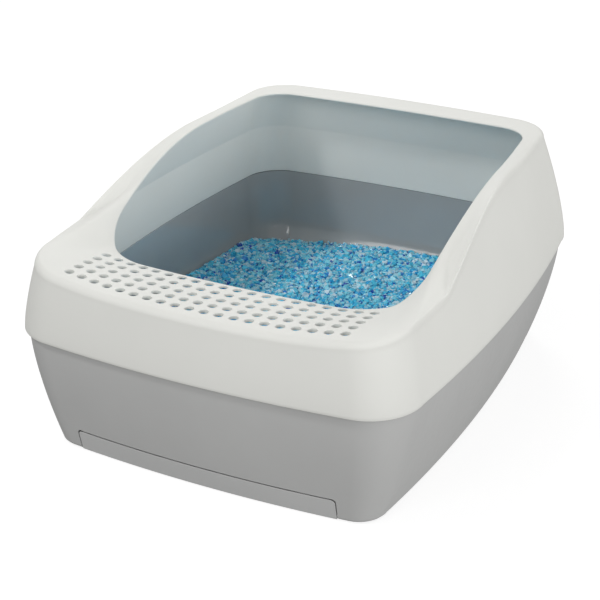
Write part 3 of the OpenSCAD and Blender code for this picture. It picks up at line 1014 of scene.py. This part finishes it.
def make_scoop():
    """The scoop keeps its CAD shape, with its edges rounded."""
    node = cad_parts["litter_scoop"]
    bm = bmesh.new()
    bm.from_mesh(node.data)
    bmesh.ops.remove_doubles(bm, verts=bm.verts, dist=0.01 * MM)
    bmesh.ops.dissolve_limit(bm, angle_limit=math.radians(1), verts=bm.verts, edges=bm.edges)
    mesh = bpy.data.meshes.new("scoop")
    bm.to_mesh(mesh)
    bm.free()
    scoop = bpy.data.objects.new("scoop", mesh)
    bpy.context.scene.collection.objects.link(scoop)
    bevelled(scoop, 0.6)
    place(scoop, "drawer", "scoop_plastic", scoop_plastic, "litter_scoop")


def finish_pads():
    """The anti-slip pads keep their CAD shape."""
    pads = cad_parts["foot_pads"]
    pads.data.materials.clear()
    pads.data.materials.append(pad_rubber)


# ---- Studio --------------------------------------------------------------------------------

FLOOR_R = 6
DOME_STEPS = 24


def camera_only(obj):
    """Keeps a backdrop from throwing light on the object or shading it."""
    obj.visible_diffuse = False
    obj.visible_glossy = False
    obj.visible_transmission = False
    obj.visible_shadow = False


def glowing(name, colour, glow):
    """Plain paper with some light of its own."""
    n = Nodes(name)
    n.link(n.ramp(n.noise(300, 2), [(0.3, colour), (0.7, tuple(c * 1.02 for c in colour))]),
           n.shader.inputs["Base Color"])
    n.shader.inputs["Roughness"].default_value = 0.9
    n.shader.inputs["Specular IOR Level"].default_value = 0
    n.shader.inputs["Emission Color"].default_value = (1, 1, 1, 1)
    n.shader.inputs["Emission Strength"].default_value = glow
    return n.material


def make_backdrop():
    """A pale round floor under a plain white dome."""
    turns = np.linspace(0, 2 * math.pi, 96, endpoint=False)
    circle = np.column_stack([np.cos(turns), np.sin(turns)]) * FLOOR_R / MM
    floor = new_object("floor", ring_at(circle, 0), [tuple(range(len(circle)))])
    floor.data.materials.append(glowing("floor_paper", (0.30, 0.30, 0.30), 0.80))
    climbs = np.linspace(0, 0.98, DOME_STEPS) * math.pi / 2
    rings = [ring_at(circle * math.cos(a), FLOOR_R / MM * math.sin(a)) for a in climbs]
    n = len(circle)
    faces = [(k * n + i, k * n + (i + 1) % n, (k + 1) * n + (i + 1) % n, (k + 1) * n + i)
             for k in range(DOME_STEPS - 1) for i in range(n)]
    faces.append(tuple(range((DOME_STEPS - 1) * n, DOME_STEPS * n)))
    dome = new_object("dome", np.vstack(rings), faces)
    dome.data.materials.append(glowing("dome_paper", (0.05, 0.05, 0.05), 1.05))
    for piece in (floor, dome):
        camera_only(piece)


def make_world(above, below):
    """Even light from all round, stronger from above than from below."""
    world = bpy.data.worlds.new("studio")
    world.use_nodes = True
    tree = world.node_tree
    where = tree.nodes.new("ShaderNodeTexCoord")
    axes = tree.nodes.new("ShaderNodeSeparateXYZ")
    blend = tree.nodes.new("ShaderNodeMapRange")
    blend.name = "blend"
    blend.inputs["From Min"].default_value = -0.1
    blend.inputs["From Max"].default_value = 0.1
    blend.inputs["To Min"].default_value = below
    blend.inputs["To Max"].default_value = above
    tree.links.new(where.outputs["Generated"], axes.inputs["Vector"])
    tree.links.new(axes.outputs["Z"], blend.inputs["Value"])
    tree.links.new(blend.outputs["Result"], tree.nodes["Background"].inputs["Strength"])
    tree.nodes["Background"].inputs["Color"].default_value = (1, 1, 1, 1)
    bpy.context.scene.world = world


def area_light(name, azimuth, elevation, distance, size, power):
    """A square soft box aimed at the middle of the box; azimuth 0 is in front of it."""
    a, e = math.radians(azimuth), math.radians(elevation)
    away = Vector((math.sin(a) * math.cos(e), -math.cos(a) * math.cos(e), math.sin(e)))
    data = bpy.data.lights.new(name, "AREA")
    data.shape = "SQUARE"
    data.size = size
    data.energy = power
    light = bpy.data.objects.new(name, data)
    light.location = Vector((0, 0, 0.12)) + away * distance
    light.rotation_mode = "QUATERNION"
    light.rotation_quaternion = away.to_track_quat("Z", "Y")
    bpy.context.scene.collection.objects.link(light)


def make_studio():
    """Even light, soft boxes round the object, one smaller lamp high up on the left, and a backdrop."""
    make_world(0.45, 0.25)
    area_light("front", -15, 30, 5, 2.2, 44)
    area_light("front_right", 60, 10, 5, 2.2, 66)
    area_light("right", 90, 10, 5, 2.2, 55)
    area_light("back_right", 150, 30, 5, 2.2, 12)
    area_light("back_left", -150, 30, 5, 2.2, 60)
    area_light("key", -43, 53, 5, 0.7, 54)
    make_backdrop()


def make_camera():
    """A camera in front of the box and to its right, looking down on it."""
    yaw, pitch, roll = (math.radians(v) for v in (26.37, 25.55, 0.23))
    target = Vector((0.0135, -0.0609, 0.1256))
    distance = 1.5535
    forward = Vector((-math.sin(yaw) * math.cos(pitch), math.cos(yaw) * math.cos(pitch), -math.sin(pitch)))
    data = bpy.data.cameras.new("camera")
    data.sensor_width = 36
    data.lens = 89.5
    camera = bpy.data.objects.new("camera", data)
    camera.location = target - forward * distance
    camera.rotation_mode = "QUATERNION"
    camera.rotation_quaternion = forward.to_track_quat("-Z", "Y")
    camera.rotation_quaternion = camera.rotation_quaternion @ Euler((0, 0, roll)).to_quaternion()
    bpy.context.scene.collection.objects.link(camera)
    bpy.context.scene.camera = camera
    bpy.context.scene.view_settings.view_transform = "Standard"


make_camera()
make_studio()
make_hood()
make_tub()
make_pan()
make_litter()
make_drawer()
make_scoop()
finish_pads()
